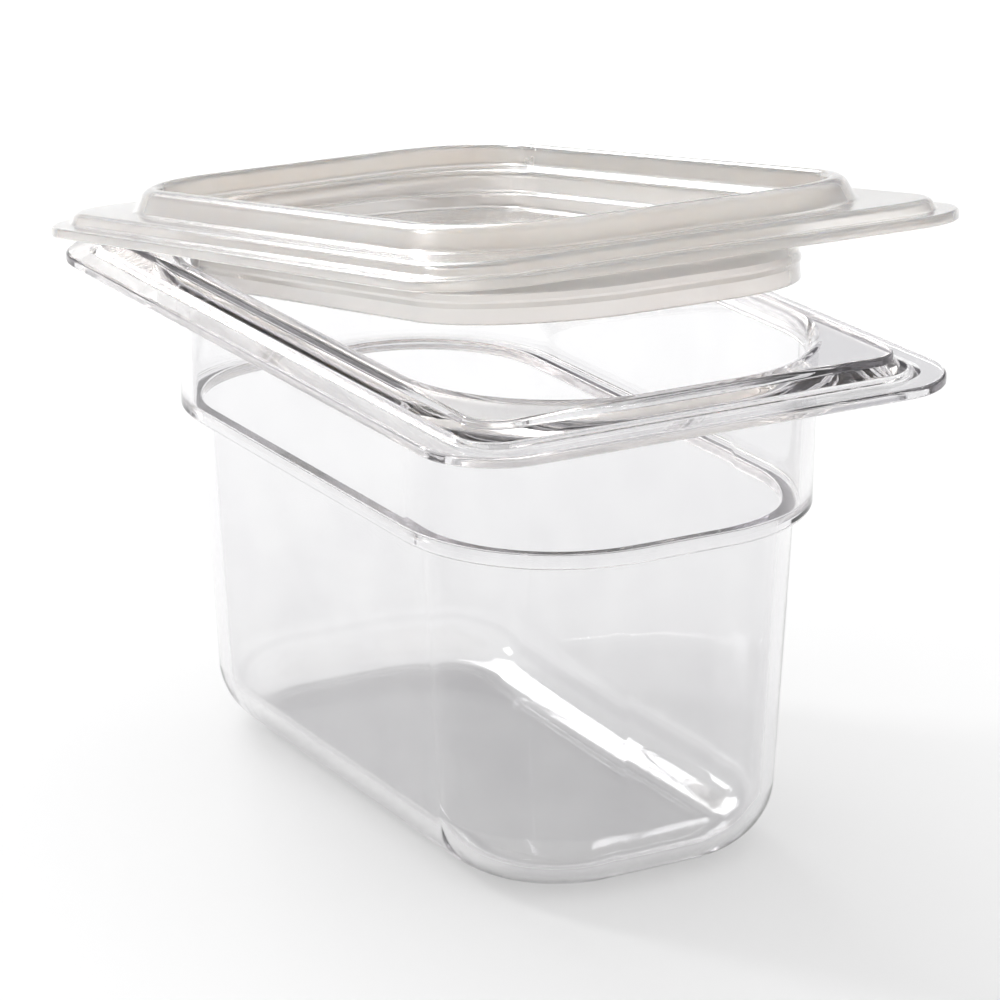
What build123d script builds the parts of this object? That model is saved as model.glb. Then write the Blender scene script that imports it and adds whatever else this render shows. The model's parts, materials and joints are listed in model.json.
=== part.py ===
# A ninth-size gastronorm food pan with its seal cover.
#
# The pan is one clear moulding: a tub with a stacking shoulder, hung from a stepped rim.
# The cover is one flexible moulding: a lip and flange that cap the rim, two risers up to a
# hollow crest, and a sunken well whose skirt plugs the mouth of the tub.
#
# Frame: millimetres, +Z up, +X along the pan. The origin is the middle of the pan's underside.
# The cover is drawn on planes of its closed position. They are turned about a level line
# through its resting corner at -X and +Y, so that it lies as it is used: lifted at its +X end.

import os
from math import cos, radians, sin, tan

from build123d import *

# Pan, outside
pan_length = 176.0
pan_width = 108.0
pan_height = 100.0
pan_wall = 2.4
floor_thickness = 2.6

# Rim, from its edge inwards: edge band, slope, plateau, mouth
rim_corner_radius = 15.0
rim_edge_thickness = 2.0
rim_edge_rounding = 0.7
edge_band_width = 4.8
slope_width = 4.5
slope_rise = 2.2
plateau_step = 1.5
plateau_width = 2.0
plateau_corner_radius = 7.0
plateau_rounding = 0.6
mouth_rounding = 3.0
mouth_corner_radius = 33.4

# Tub walls: the upper wall steps in at the shoulder, and both walls narrow downwards
shoulder_depth = 32.4
shoulder_step = 3.35
shoulder_rounding = 1.0
ledge_rounding = 0.8
upper_draft = 1.3
lower_draft = 3.1
floor_rounding = 13.0

# Cover, from its edge inwards: lip, flange, terrace, crest, ledge, well
cover_wall = 1.3
cover_overhang = 2.7
lip_height = 2.0
flange_width = 4.0
first_riser = 2.3
riser_draft = 26.0
terrace_width = 5.7
terrace_corner_radius = 13.5
crest_height = 4.6
crest_width = 3.0
crest_corner_radius = 26.0
terrace_rounding = 2.0
crest_outer_rounding = 2.8
crest_inner_rounding = 1.1
well_step_depth = 4.6
well_step_width = 2.0
well_depth = 12.3

# Skirt of the cover and its seal bead
skirt_depth = 12.2
skirt_clearance = 1.0
bead_proud = 0.35
bead_half_height = 1.2
bead_draft = 20.0
bead_above_end = 4.2

# How the cover sits on the pan
seat_clearance = 0.3
pivot_outside_rim = 0.4
lifted_angle = 9.24
lift_skew = 2.6

# Levels of the pan
plateau_top = pan_height
slope_top = plateau_top - plateau_step
edge_band_top = slope_top - slope_rise
rim_bottom = edge_band_top - rim_edge_thickness
shoulder_level = pan_height - shoulder_depth
ledge_level = shoulder_level + pan_wall

# How far each outline of the pan lies inside the edge of its rim, and its corner radius
plateau_inset = edge_band_width + slope_width
inner_wall_inset = plateau_inset + plateau_width + mouth_rounding
inner_wall_radius = mouth_corner_radius - mouth_rounding
outer_wall_inset = inner_wall_inset - pan_wall
outer_wall_radius = inner_wall_radius + pan_wall
upper_narrowing = shoulder_depth * tan(radians(upper_draft))
lower_wall_inset = outer_wall_inset + upper_narrowing + shoulder_step
lower_wall_radius = outer_wall_radius - upper_narrowing - shoulder_step

# Levels of the closed cover
terrace_underside = plateau_top + seat_clearance
terrace_top = terrace_underside + cover_wall
flange_top = terrace_top - first_riser
lip_bottom = flange_top - lip_height
crest_top = terrace_top + crest_height
well_step_level = terrace_top - well_step_depth
well_floor = crest_top - well_depth
skirt_bottom = flange_top - skirt_depth

# Outlines of the cover, by the same two measures
cover_length = pan_length + 2 * cover_overhang
cover_width = pan_width + 2 * cover_overhang
cover_corner_radius = rim_corner_radius + cover_overhang
riser_slant = tan(radians(riser_draft))
riser_wall_shift = cover_wall / cos(radians(riser_draft)) - cover_wall * riser_slant
crest_foot_inset = flange_width + first_riser * riser_slant + terrace_width
crest_inset = crest_foot_inset + crest_height * riser_slant
crest_radius = crest_corner_radius - crest_height * riser_slant
well_inset = crest_inset + crest_width
well_radius = crest_radius - crest_width
skirt_inset = cover_overhang + inner_wall_inset + skirt_clearance
skirt_radius = inner_wall_radius - skirt_clearance
skirt_inner_inset = skirt_inset + cover_wall
skirt_inner_radius = skirt_radius - cover_wall


def outline(level, length, width, inset, corner_radius):
    """A rounded rectangle on the plane of a level, drawn in by an inset from a length and width."""
    with BuildSketch(level) as shape:
        RectangleRounded(length - 2 * inset, width - 2 * inset, corner_radius)
    return shape.sketch


# Pan: rim, tub and food space
def pan_outline(height, inset, corner_radius):
    """An outline of the pan at a height, inset from the edge of its rim."""
    return outline(Plane.XY.offset(height), pan_length, pan_width, inset, corner_radius)


with BuildPart() as pan:
    # Edge band, the slope up from it, and the raised plateau round the mouth
    extrude(pan_outline(rim_bottom, 0, rim_corner_radius), amount=rim_edge_thickness)
    fillet(pan.edges().group_by(Axis.Z)[-1], rim_edge_rounding)
    slope_foot = pan_outline(edge_band_top, edge_band_width, rim_corner_radius - edge_band_width)
    slope_head = pan_outline(slope_top, plateau_inset, plateau_corner_radius)
    loft([slope_foot, slope_head], ruled=True)
    extrude(slope_head, amount=plateau_step)
    fillet(pan.edges().group_by(Axis.Z)[-1], plateau_rounding)

    # Underside of the rim, hollowed under the slope, and under the corners of the plateau
    under_slope_inset = edge_band_width + pan_wall
    under_slope = pan_outline(rim_bottom, under_slope_inset, rim_corner_radius - under_slope_inset)
    extrude(under_slope, amount=rim_edge_thickness, mode=Mode.SUBTRACT)
    under_plateau_inset = outer_wall_inset + pan_wall / 2
    under_plateau_radius = plateau_corner_radius - (under_plateau_inset - plateau_inset)
    under_plateau = pan_outline(edge_band_top, under_plateau_inset, under_plateau_radius)
    extrude(under_plateau, amount=slope_rise, mode=Mode.SUBTRACT)

    # Tub: the upper wall narrows down to the shoulder, and the lower wall from there to the floor
    upper_tub = pan_outline(slope_top, outer_wall_inset, outer_wall_radius)
    extrude(upper_tub, amount=shoulder_level - slope_top, taper=upper_draft)
    lower_tub = pan_outline(shoulder_level, lower_wall_inset, lower_wall_radius)
    extrude(lower_tub, amount=-shoulder_level, taper=lower_draft)
    fillet(pan.edges().group_by(Axis.Z)[0], floor_rounding)
    shoulder_face = pan.faces().filter_by(Plane.XY).group_by(Axis.Z)[1].sort_by(SortBy.AREA)[-1]
    fillet(shoulder_face.outer_wire().edges(), shoulder_rounding)

with BuildPart() as food_space:
    mouth = pan_outline(pan_height, inner_wall_inset, inner_wall_radius)
    extrude(mouth, amount=ledge_level - pan_height, taper=upper_draft)
    inner_lower_inset = lower_wall_inset + pan_wall
    inner_lower_radius = lower_wall_radius - pan_wall
    inner_lower = pan_outline(ledge_level, inner_lower_inset, inner_lower_radius)
    extrude(inner_lower, amount=floor_thickness - ledge_level, taper=lower_draft)
    fillet(food_space.edges().group_by(Axis.Z)[0], floor_rounding - pan_wall)
    ledge_face = food_space.faces().filter_by(Plane.XY).group_by(Axis.Z)[1][0]
    fillet(ledge_face.inner_wires()[0].edges(), ledge_rounding)

with pan:
    add(food_space.part, mode=Mode.SUBTRACT)
    fillet(pan.faces().sort_by(Axis.Z)[-1].inner_wires()[0].edges(), mouth_rounding)

pan.part.label = "pan"


# Seal cover: lip, flange, risers, crest, well and skirt
pivot_point = (-pan_length / 2 - pivot_outside_rim, pan_width / 2, lip_bottom)
pivot_direction = (-sin(radians(lift_skew)), -cos(radians(lift_skew)), 0)
pivot = Location(pivot_point, pivot_direction, lifted_angle)
unpivot = Location(pivot_point).inverse()
cover_plane = Plane(pivot * unpivot)
cover_axis = Axis(cover_plane.origin, cover_plane.z_dir)


def cover_outline(height, inset, corner_radius):
    """An outline of the cover at a height of its closed position, inset from its edge."""
    return outline(cover_plane.offset(height), cover_length, cover_width, inset, corner_radius)


with BuildPart() as seal_cover:
    # Outside of the shell: lip and flange, terrace, crest
    extrude(cover_outline(lip_bottom, 0, cover_corner_radius), amount=lip_height)
    terrace = cover_outline(flange_top, flange_width, terrace_corner_radius)
    extrude(terrace, amount=first_riser, taper=riser_draft)
    crest = cover_outline(terrace_top, crest_foot_inset, crest_corner_radius)
    extrude(crest, amount=crest_height, taper=riser_draft)

    # Its hollow underside, one wall inside each of those shapes
    under_flange = cover_outline(lip_bottom, cover_wall, cover_corner_radius - cover_wall)
    extrude(under_flange, amount=lip_height - cover_wall, mode=Mode.SUBTRACT)
    under_terrace = cover_outline(
        flange_top - cover_wall,
        flange_width + riser_wall_shift,
        terrace_corner_radius - riser_wall_shift,
    )
    extrude(under_terrace, amount=first_riser, taper=riser_draft, mode=Mode.SUBTRACT)
    under_crest = cover_outline(
        terrace_underside,
        crest_foot_inset + riser_wall_shift,
        crest_corner_radius - riser_wall_shift,
    )
    extrude(under_crest, amount=crest_height, taper=riser_draft, mode=Mode.SUBTRACT)

    # Inner wall of the crest, skirt and seal bead
    inner_wall = cover_outline(terrace_underside, well_inset - cover_wall, well_radius + cover_wall)
    extrude(inner_wall, amount=crest_height)
    skirt = cover_outline(skirt_bottom, skirt_inset, skirt_radius)
    extrude(skirt, amount=terrace_underside - skirt_bottom)
    bead_level = skirt_bottom + bead_above_end
    bead = cover_outline(bead_level, skirt_inset - bead_proud, skirt_radius + bead_proud)
    extrude(bead, amount=bead_half_height, both=True, taper=bead_draft)

    # Well, stepped down to its floor, and the space inside the skirt below it
    well = cover_outline(terrace_top, well_inset, well_radius)
    extrude(well, amount=crest_height, mode=Mode.SUBTRACT)
    well_middle = cover_outline(well_step_level, skirt_inner_inset, skirt_inner_radius)
    extrude(well_middle, amount=well_step_depth, mode=Mode.SUBTRACT)
    well_bottom = cover_outline(
        well_floor, skirt_inner_inset + well_step_width, skirt_inner_radius - well_step_width
    )
    extrude(well_bottom, amount=well_step_level - well_floor, mode=Mode.SUBTRACT)
    under_well = cover_outline(skirt_bottom, skirt_inner_inset, skirt_inner_radius)
    under_well_height = well_floor - cover_wall - skirt_bottom
    extrude(under_well, amount=under_well_height, mode=Mode.SUBTRACT)

    # Rounded edges of the terrace and of the crest, which are the two highest faces
    level_faces = seal_cover.faces().filter_by(cover_plane)
    terrace_face = level_faces.group_by(cover_axis)[-3].sort_by(SortBy.AREA)[-1]
    fillet(terrace_face.outer_wire().edges(), terrace_rounding)
    crest_face = seal_cover.faces().filter_by(cover_plane).sort_by(cover_axis)[-1]
    fillet(crest_face.outer_wire().edges(), crest_outer_rounding)
    crest_face = seal_cover.faces().filter_by(cover_plane).sort_by(cover_axis)[-1]
    fillet(crest_face.inner_wires()[0].edges(), crest_inner_rounding)

seal_cover.part.label = "seal_cover"


os.makedirs("parts", exist_ok=True)
export_step(pan.part, "parts/pan.step")
export_step(seal_cover.part, "parts/seal_cover.step")
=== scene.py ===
import json
from math import cos, pi, radians, sin, tan

import bmesh
import bpy
from mathutils import Matrix, Vector


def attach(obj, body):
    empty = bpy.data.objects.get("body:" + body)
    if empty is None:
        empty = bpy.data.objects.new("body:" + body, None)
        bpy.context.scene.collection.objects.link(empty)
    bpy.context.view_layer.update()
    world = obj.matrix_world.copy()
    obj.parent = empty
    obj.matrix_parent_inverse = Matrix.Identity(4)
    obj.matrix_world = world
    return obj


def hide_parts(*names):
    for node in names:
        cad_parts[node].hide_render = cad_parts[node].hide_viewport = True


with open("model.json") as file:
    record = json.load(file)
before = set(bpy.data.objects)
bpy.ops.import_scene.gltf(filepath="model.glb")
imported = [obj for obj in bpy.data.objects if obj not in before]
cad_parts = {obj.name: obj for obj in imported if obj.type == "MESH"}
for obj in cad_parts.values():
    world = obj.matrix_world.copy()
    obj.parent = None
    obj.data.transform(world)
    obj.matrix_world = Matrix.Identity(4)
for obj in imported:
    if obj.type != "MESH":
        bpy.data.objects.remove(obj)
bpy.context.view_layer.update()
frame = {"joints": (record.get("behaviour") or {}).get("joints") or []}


# Pan: one thin-walled tub with its stepped rim, injection moulded in water-clear
# polycarbonate. It comes out of the mould in one piece: the walls lean out a little so that
# it draws, and a shoulder near the top lets empty pans stack without jamming. In metres.
pan_length, pan_width, pan_height = 0.176, 0.108, 0.100
pan_wall, floor_thickness = 0.0024, 0.0026
rim_radius, rim_edge_thickness, edge_band_width = 0.015, 0.002, 0.0048
slope_width, slope_rise, plateau_step = 0.0045, 0.0022, 0.0015
plateau_width, plateau_radius = 0.002, 0.007
mouth_rounding, mouth_radius = 0.003, 0.0334
shoulder_depth, shoulder_step, foot_rounding = 0.0324, 0.00335, 0.013
upper_lean, lower_lean = tan(radians(1.3)), tan(radians(3.1))
corner_steps = 24


def ring(mesh, length, width, height, inset, radius):
    """The edges of a rounded rectangle at a height, an inset in from a length and width."""
    corners = bmesh.ops.create_grid(mesh, x_segments=1, y_segments=1, size=0.5)["verts"]
    bmesh.ops.scale(mesh, vec=(length - 2 * inset, width - 2 * inset, 1), verts=corners)
    bmesh.ops.translate(mesh, vec=(0, 0, height), verts=corners)
    turned = bmesh.ops.bevel(mesh, geom=corners, offset=radius, offset_type="OFFSET",
                             affect="VERTICES", segments=corner_steps, profile=0.5,
                             material=-1)
    face = turned["verts"][0].link_faces[0]
    edges = list(face.edges)
    bmesh.ops.delete(mesh, geom=[face], context="FACES_ONLY")
    return edges


def rounded(section):
    """The rings of a section with its corners rounded: each corner becomes an arc that touches
    both faces beside it. The first and last faces run in to the middle of the piece."""
    towards_middle = 1
    ends = [(level, inset + towards_middle) for level, inset, *_ in (section[0], section[-1])]
    path = [ends[0], *section, ends[1]]
    rings = []
    for before, corner_values, after in zip(path, section, path[2:]):
        level, inset, radius, rounding, steps = corner_values
        corner = Vector((inset, level))
        back, ahead = ((Vector((near[1], near[0])) - corner).normalized()
                       for near in (before, after))
        half = back.angle(ahead) / 2
        reach = rounding / tan(half)
        centre = corner + (back + ahead).normalized() * rounding / sin(half)
        first, last = corner + back * reach - centre, corner + ahead * reach - centre
        for step in range(steps + 1):
            point = centre + first.slerp(last, step / steps) * rounding if steps else corner
            rings.append((point.y, point.x, radius + inset - point.x))
    return rings


def moulding(name, length, width, section, body, node):
    """A closed shell through the rings of a section, from the middle of its underside to the
    middle of its top. A corner of the section is a level, an inset, the radius that it has
    round the corners of the piece, its rounding and the steps in that. The rings are bridged
    as a tall stack, one metre apart, and then each goes to its level."""
    mesh = bmesh.new()
    levels = rounded(section)
    rings = [ring(mesh, length, width, storey, inset, radius)
             for storey, (_, inset, radius) in enumerate(levels)]
    for low, high in zip(rings, rings[1:]):
        bmesh.ops.bridge_loops(mesh, edges=low + high)
    for storey, (edges, (level, *_)) in enumerate(zip(rings, levels)):
        corners = list({corner for edge in edges for corner in edge.verts})
        bmesh.ops.translate(mesh, vec=(0, 0, level - storey), verts=corners)
    for end in (rings[0], rings[-1]):
        bmesh.ops.contextual_create(mesh, geom=end)
    bmesh.ops.recalc_face_normals(mesh, faces=mesh.faces)
    for face in mesh.faces:
        face.smooth = True
    data = bpy.data.meshes.new(name)
    mesh.to_mesh(data)
    mesh.free()
    piece = bpy.data.objects.new(name, data)
    bpy.context.scene.collection.objects.link(piece)
    even_shading = piece.modifiers.new("even_shading", "WEIGHTED_NORMAL")
    even_shading.mode, even_shading.weight = "FACE_AREA", 100
    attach(piece, body)
    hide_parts(node)
    return piece


slope_top = pan_height - plateau_step
edge_band_top = slope_top - slope_rise
rim_bottom = edge_band_top - rim_edge_thickness
shoulder_level = pan_height - shoulder_depth
ledge_level = shoulder_level + pan_wall
plateau_inset = edge_band_width + slope_width
inner_inset = plateau_inset + plateau_width + mouth_rounding
inner_radius = mouth_radius - mouth_rounding
outer_inset, outer_radius = inner_inset - pan_wall, inner_radius + pan_wall
narrowing = shoulder_depth * upper_lean
lower_inset = outer_inset + narrowing + shoulder_step
lower_radius = outer_radius - narrowing - shoulder_step
under_inset = edge_band_width + pan_wall


def leaning(level, start, inset, radius, lean):
    """A level with the inset and radius there of a wall that leans out upwards from a start."""
    shift = (start - level) * lean
    return level, inset + shift, radius - shift


# Each edge is a rounding and the steps round it
foot, inner_foot = (foot_rounding, 14), (foot_rounding - pan_wall, 14)
fine_edge, under_slope_root = (0.0006, 4), (0.001, 6)
edge_band_root, edge_band_end = (0.0005, 3), (0.0004, 3)
rim_lower_edge, rim_upper_edge = (0.0004, 4), (0.0007, 6)
plateau_root, plateau_edge, mouth_edge = (0.0004, 4), (0.0006, 5), (mouth_rounding, 12)
ledge_root = (0.0008, 5)

pan_section = [
    (*leaning(0, shoulder_level, lower_inset, lower_radius, lower_lean), *foot),
    (shoulder_level, lower_inset, lower_radius, *fine_edge),
    (*leaning(shoulder_level, slope_top, outer_inset, outer_radius, upper_lean),
     *under_slope_root),
    (*leaning(edge_band_top, slope_top, outer_inset, outer_radius, upper_lean), *fine_edge),
    (edge_band_top, under_inset, rim_radius - under_inset, *edge_band_root),
    (rim_bottom, under_inset, rim_radius - under_inset, *edge_band_end),
    (rim_bottom, 0, rim_radius, *rim_lower_edge),
    (edge_band_top, 0, rim_radius, *rim_upper_edge),
    (edge_band_top, edge_band_width, rim_radius - edge_band_width, *fine_edge),
    (slope_top, plateau_inset, plateau_radius, *plateau_root),
    (pan_height, plateau_inset, plateau_radius, *plateau_edge),
    (pan_height, inner_inset, inner_radius, *mouth_edge),
    (*leaning(ledge_level, pan_height, inner_inset, inner_radius, upper_lean), *fine_edge),
    (ledge_level, lower_inset + pan_wall, lower_radius - pan_wall, *ledge_root),
    (*leaning(floor_thickness, ledge_level, lower_inset + pan_wall, lower_radius - pan_wall,
              lower_lean), *inner_foot),
]
pan = moulding("pan_moulding", pan_length, pan_width, pan_section,
               "pan", "pan")


class Shade:
    """A shader socket. Arithmetic on it adds Math nodes to its tree."""

    def __init__(self, tree, socket=None):
        self.tree, self.socket = tree, socket

    def node(self, kind, settings=None, sockets=None, out=0):
        """Adds a node: its settings come first, then the values or links of its sockets."""
        added = self.tree.nodes.new(kind)
        for name, value in (settings or {}).items():
            if name == "stops":
                ramp = added.color_ramp.elements
                for index, (place, colour) in enumerate(value):
                    stop = ramp[index] if index < 2 else ramp.new(place)
                    stop.position, stop.color = place, (*colour, 1)
            else:
                setattr(added, name, value)
        for name, value in (sockets or {}).items():
            if isinstance(value, Shade):
                self.tree.links.new(value.socket, added.inputs[name])
            else:
                added.inputs[name].default_value = value
        return Shade(self.tree, added.outputs[out] if added.outputs else None)

    def math(self, operation, other):
        return self.node("ShaderNodeMath", {"operation": operation}, {0: self, 1: other})

    def __add__(self, other):
        return self.math("ADD", other)

    def __mul__(self, other):
        return self.math("MULTIPLY", other)

    __radd__, __rmul__ = __add__, __mul__


def new_tree(owner):
    """An empty node tree for a material or a world."""
    owner.use_nodes = True
    owner.node_tree.nodes.clear()
    return Shade(owner.node_tree)


# Water-clear, with slow flow marks from the mould, fine scuffs and a faint grey in the depth
flow_scale, scuff_scale = 55, 900
gloss, scuff_dulling = 0.005, 0.02
clear_plastic = bpy.data.materials.new("clear_polycarbonate")
shade = new_tree(clear_plastic)
place = shade.node("ShaderNodeTexCoord", out="Object")
flow = shade.node("ShaderNodeTexNoise", {}, {"Vector": place, "Scale": flow_scale, "Detail": 2})
scuffs = shade.node("ShaderNodeTexNoise", {}, {"Vector": place, "Scale": scuff_scale,
                                               "Detail": 3})
tint = shade.node("ShaderNodeValToRGB", {"stops": [(0.3, (0.895, 0.893, 0.9)),
                                                   (0.7, (0.935, 0.935, 0.937))]},
                  {"Fac": flow})
ripple = shade.node("ShaderNodeBump", {}, {"Strength": 0.02, "Distance": 0.0003,
                                           "Height": flow})
surface = shade.node("ShaderNodeBsdfPrincipled", {}, {
    "Base Color": tint, "Roughness": gloss + scuffs * scuff_dulling, "IOR": 1.585,
    "Transmission Weight": 1.0, "Normal": ripple})
inside = shade.node("ShaderNodeVolumeAbsorption", {}, {"Color": (0.40, 0.37, 0.42, 1),
                                                       "Density": 8.0})
shade.node("ShaderNodeOutputMaterial", {}, {"Surface": surface, "Volume": inside})
pan.data.materials.append(clear_plastic)


# Seal cover: one soft moulding in milky translucent polypropylene. Its lip and flange lie on
# the rim of the pan, two risers lead up to a hollow crest, and the skirt of the sunken well
# plugs the mouth with a seal bead. It lies lifted at one end, as when it is being peeled off.
cover_wall, cover_overhang = 0.0013, 0.0027
lip_height, flange_width, first_riser = 0.002, 0.004, 0.0023
riser_angle = radians(26)
riser_slant = tan(riser_angle)
terrace_width, terrace_radius = 0.0057, 0.0135
crest_height, crest_width, crest_foot_radius = 0.00459, 0.003, 0.026
well_step_depth, well_step_width, well_depth = 0.0046, 0.002, 0.0123
skirt_depth, skirt_clearance = 0.0122, 0.001
bead_proud, bead_half, bead_above_end = 0.00035, 0.0012, 0.0042
seat_clearance = 0.0003

terrace_underside = pan_height + seat_clearance
terrace_top = terrace_underside + cover_wall
flange_top = terrace_top - first_riser
lip_bottom = flange_top - lip_height
crest_top = terrace_top + crest_height
well_step_level = terrace_top - well_step_depth
well_floor = crest_top - well_depth
skirt_bottom = flange_top - skirt_depth
lip_radius = rim_radius + cover_overhang
riser_shift = cover_wall / cos(riser_angle) - cover_wall * riser_slant
crest_foot = flange_width + first_riser * riser_slant + terrace_width
crest_inset = crest_foot + crest_height * riser_slant
crest_radius = crest_foot_radius - crest_height * riser_slant
well_inset, well_radius = crest_inset + crest_width, crest_radius - crest_width
skirt_inset = cover_overhang + inner_inset + skirt_clearance
skirt_radius = inner_radius - skirt_clearance
hollow_inset, hollow_radius = skirt_inset + cover_wall, skirt_radius - cover_wall
bead_level, bead_crown = skirt_bottom + bead_above_end, bead_half * 0.2
bead_inset, bead_radius = skirt_inset - bead_proud, skirt_radius + bead_proud
under_riser = flange_width + riser_shift
under_crest, under_crest_radius = crest_foot + riser_shift, crest_foot_radius - riser_shift
under_crest_end = under_crest + crest_height * riser_slant
under_riser_end = under_riser + first_riser * riser_slant

# Each edge is a rounding and the steps round it
sharp, bead_root, lip_end = (0, 0), (0.0002, 2), (0.0002, 2)
underside_edge, hollow_root = (0.0003, 2), (0.0005, 3)
skirt_end, skirt_root = (0.0004, 3), (0.0006, 4)
bead_edge, riser_underside_edge, crest_underside_root = (0.0003, 3), (0.0003, 3), (0.0004, 3)
lip_lower_edge, lip_upper_edge = (0.0003, 3), (0.0006, 5)
riser_root, terrace_edge = (0.0008, 5), (0.002, 8)
crest_root, crest_outer_edge, crest_inner_edge = (0.001, 5), (0.0028, 10), (0.0011, 6)
well_shoulder, well_step_edge, well_floor_root = (0.0009, 5), (0.0006, 4), (0.0008, 5)

cover_section = [
    (well_floor - cover_wall, hollow_inset, hollow_radius, *hollow_root),
    (skirt_bottom, hollow_inset, hollow_radius, *underside_edge),
    (skirt_bottom, skirt_inset, skirt_radius, *skirt_end),
    (bead_level - bead_half, skirt_inset, skirt_radius, *bead_root),
    (bead_level - bead_crown, bead_inset, bead_radius, *bead_edge),
    (bead_level + bead_crown, bead_inset, bead_radius, *bead_edge),
    (bead_level + bead_half, skirt_inset, skirt_radius, *bead_root),
    (terrace_underside, skirt_inset, skirt_radius, *skirt_root),
    (terrace_underside, well_inset - cover_wall, well_radius + cover_wall, *underside_edge),
    (terrace_underside + crest_height, well_inset - cover_wall, well_radius + cover_wall,
     *sharp),
    (terrace_underside + crest_height, under_crest_end,
     under_crest_radius - crest_height * riser_slant, *sharp),
    (terrace_underside, under_crest, under_crest_radius, *crest_underside_root),
    (terrace_underside, under_riser_end,
     terrace_radius - riser_shift - first_riser * riser_slant, *riser_underside_edge),
    (flange_top - cover_wall, under_riser, terrace_radius - riser_shift,
     *riser_underside_edge),
    (flange_top - cover_wall, cover_wall, lip_radius - cover_wall, *underside_edge),
    (lip_bottom, cover_wall, lip_radius - cover_wall, *lip_end),
    (lip_bottom, 0, lip_radius, *lip_lower_edge),
    (flange_top, 0, lip_radius, *lip_upper_edge),
    (flange_top, flange_width, terrace_radius, *riser_root),
    (terrace_top, flange_width + first_riser * riser_slant,
     terrace_radius - first_riser * riser_slant, *terrace_edge),
    (terrace_top, crest_foot, crest_foot_radius, *crest_root),
    (crest_top, crest_inset, crest_radius, *crest_outer_edge),
    (crest_top, well_inset, well_radius, *crest_inner_edge),
    (terrace_top, well_inset, well_radius, *crest_root),
    (terrace_top, hollow_inset, hollow_radius, *well_shoulder),
    (well_step_level, hollow_inset, hollow_radius, *well_step_edge),
    (well_step_level, hollow_inset + well_step_width, hollow_radius - well_step_width,
     *well_step_edge),
    (well_floor, hollow_inset + well_step_width, hollow_radius - well_step_width,
     *well_floor_root),
]
cover = moulding("seal_cover_moulding", pan_length + 2 * cover_overhang,
                 pan_width + 2 * cover_overhang, cover_section,
                 "seal_cover", "seal_cover")

# The section is drawn closed on the rim. The cover then turns up about its hinge line to rest.
hinge = next(joint for joint in frame["joints"] if joint["name"] == "cover_lift")
closed_angle = hinge["range_deg"][0]
pivot, line = Vector(hinge["pos_m"]), Vector(hinge["axis"])
lifted = Matrix.Translation(pivot) @ Matrix.Rotation(radians(-closed_angle), 4, line)
cover.data.transform(lifted @ Matrix.Translation(-pivot))

# Milky, warm where it is cloudier, with a fine grain and a soft sheen
cloud_scale, grain_scale, grain_share = 40, 1500, 0.1
sheen_roughness, cloud_dulling = 0.2, 0.1
milky_plastic = bpy.data.materials.new("milky_polypropylene")
shade = new_tree(milky_plastic)
place = shade.node("ShaderNodeTexCoord", out="Object")
cloud = shade.node("ShaderNodeTexNoise", {}, {"Vector": place, "Scale": cloud_scale,
                                              "Detail": 4})
grain = shade.node("ShaderNodeTexNoise", {}, {"Vector": place, "Scale": grain_scale,
                                              "Detail": 2})
milk = shade.node("ShaderNodeValToRGB", {"stops": [(0.3, (0.92, 0.875, 0.835)),
                                                   (0.7, (0.97, 0.94, 0.905))]},
                  {"Fac": cloud})
ripple = shade.node("ShaderNodeBump", {}, {"Strength": 0.15, "Distance": 0.0002,
                                           "Height": cloud + grain * grain_share})
surface = shade.node("ShaderNodeBsdfPrincipled", {}, {
    "Base Color": milk, "Roughness": sheen_roughness + cloud * cloud_dulling, "IOR": 1.49,
    "Coat Weight": 1.0, "Coat Roughness": 0.1,
    "Transmission Weight": 0.85, "Subsurface Weight": 1.0, "Subsurface Scale": 0.002,
    "Subsurface Radius": (1.0, 0.9, 0.8), "Normal": ripple})
shade.node("ShaderNodeOutputMaterial", {}, {"Surface": surface})
cover.data.materials.append(milky_plastic)


# Studio: a pale floor that also glows a little, as a light table does, in a white room. A grey
# band above the room's horizon draws the edges of the clear plastic. A large soft lamp stands
# behind the object, and a small one beside it.
floor_half_size, floor_gap = 4, 0.0005
floor_mesh = bmesh.new()
bmesh.ops.create_grid(floor_mesh, x_segments=1, y_segments=1, size=floor_half_size)
bmesh.ops.translate(floor_mesh, vec=(0, 0, -floor_gap), verts=floor_mesh.verts)
floor_data = bpy.data.meshes.new("floor")
floor_mesh.to_mesh(floor_data)
floor_mesh.free()
floor = bpy.data.objects.new("floor", floor_data)
bpy.context.scene.collection.objects.link(floor)
pale = bpy.data.materials.new("pale_floor")
shade = new_tree(pale)
place = shade.node("ShaderNodeTexCoord", out="Object")
mottle = shade.node("ShaderNodeTexNoise", {}, {"Vector": place, "Scale": 3})
colour = shade.node("ShaderNodeValToRGB", {"stops": [(0, (0.43, 0.43, 0.43)),
                                                     (1, (0.46, 0.46, 0.46))]},
                    {"Fac": mottle})
surface = shade.node("ShaderNodeBsdfPrincipled", {}, {
    "Base Color": colour, "Roughness": 0.9, "Emission Color": (1, 1, 1, 1),
    "Emission Strength": 0.42})
shade.node("ShaderNodeOutputMaterial", {}, {"Surface": surface})
floor.data.materials.append(pale)

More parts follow.
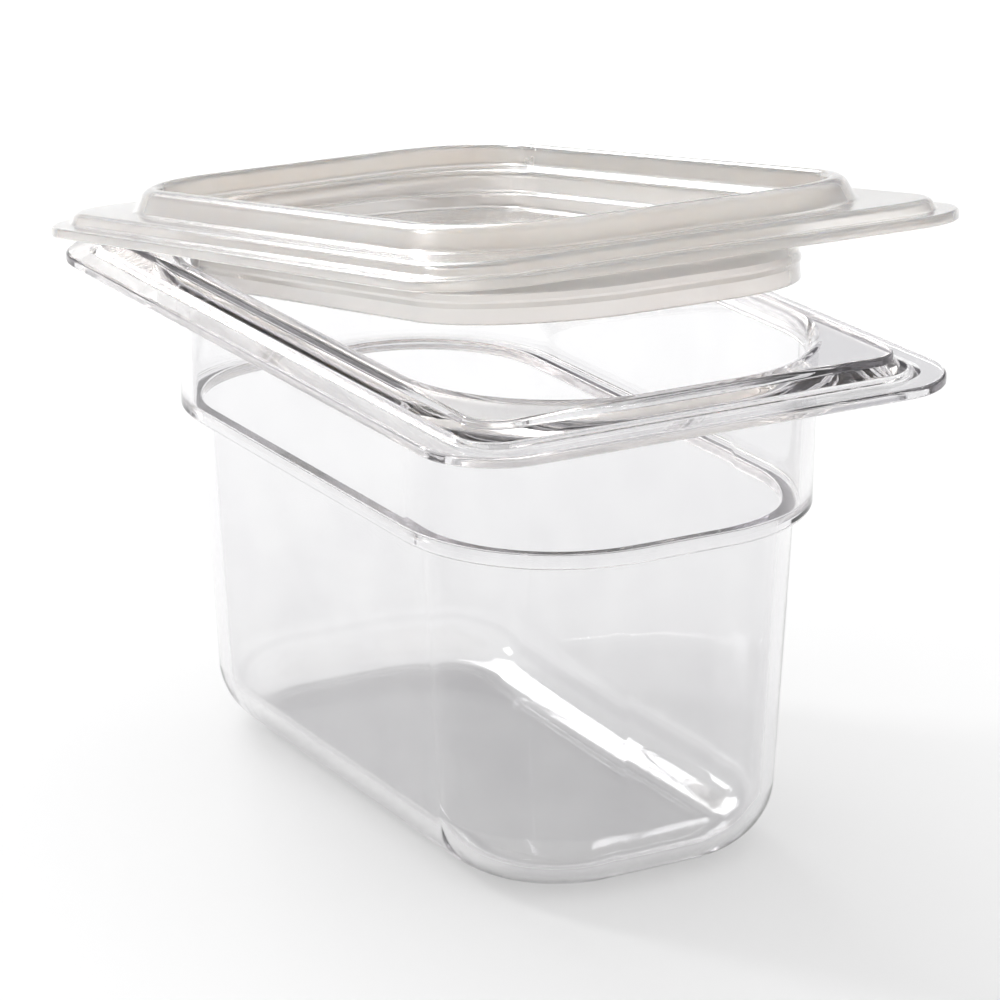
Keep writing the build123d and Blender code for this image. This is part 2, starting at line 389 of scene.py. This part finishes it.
# Light that is caught in the pan's thin walls turns many times before it gets out
light_turns = 48
scene = bpy.context.scene
scene.view_settings.view_transform = "Standard"
scene.cycles.max_bounces = light_turns
scene.cycles.transmission_bounces = light_turns
scene.cycles.glossy_bounces = light_turns
scene.world = bpy.data.worlds.new("studio")
shade = new_tree(scene.world)
direction = shade.node("ShaderNodeTexCoord", out="Generated")
height = shade.node("ShaderNodeSeparateXYZ", {}, {"Vector": direction}, out="Z")
white, grey_band = (1, 1, 1), (0.38, 0.37, 0.4)
room = shade.node("ShaderNodeValToRGB", {"stops": [
    (0.12, white), (0.19, grey_band), (0.32, grey_band), (0.42, white)]}, {"Fac": height})
sky = shade.node("ShaderNodeBackground", {}, {"Color": room, "Strength": 1.0})
shade.node("ShaderNodeOutputWorld", {}, {"Surface": sky})


def soft_light(name, position, size, power):
    """A square lamp at a position, turned to the object."""
    lamp = bpy.data.lights.new(name, "AREA")
    lamp.size, lamp.energy = size, power
    light = bpy.data.objects.new(name, lamp)
    light.location = position
    light.rotation_euler = (-Vector(position)).to_track_quat("-Z", "Y").to_euler()
    bpy.context.scene.collection.objects.link(light)


soft_light("back_light", (-1.4, 0.1, 0.95), size=0.8, power=14)
soft_light("side_light", (-1.1, -0.7, 0.8), size=0.22, power=7)


# Camera: a long lens that looks down a little at one corner of the rim. It is turned round
# from the front, tilted down and rolled by a trace, and aimed near the middle of the object.
camera_data = bpy.data.cameras.new("camera")
camera_data.lens, camera_data.sensor_width = 160.64, 36
camera = bpy.data.objects.new("camera", camera_data)
turn, tilt, roll = radians(60.63), radians(18.04), radians(-0.23)
aim, distance = Vector((0.0203, -0.0082, 0.0640)), 0.85
back = Vector((sin(turn) * cos(tilt), -cos(turn) * cos(tilt), sin(tilt)))
camera.matrix_world = (Matrix.Translation(aim + back * distance)
                       @ Matrix.Rotation(turn, 4, "Z")
                       @ Matrix.Rotation(pi / 2 - tilt, 4, "X")
                       @ Matrix.Rotation(roll, 4, "Z"))
bpy.context.scene.collection.objects.link(camera)
scene.camera = camera
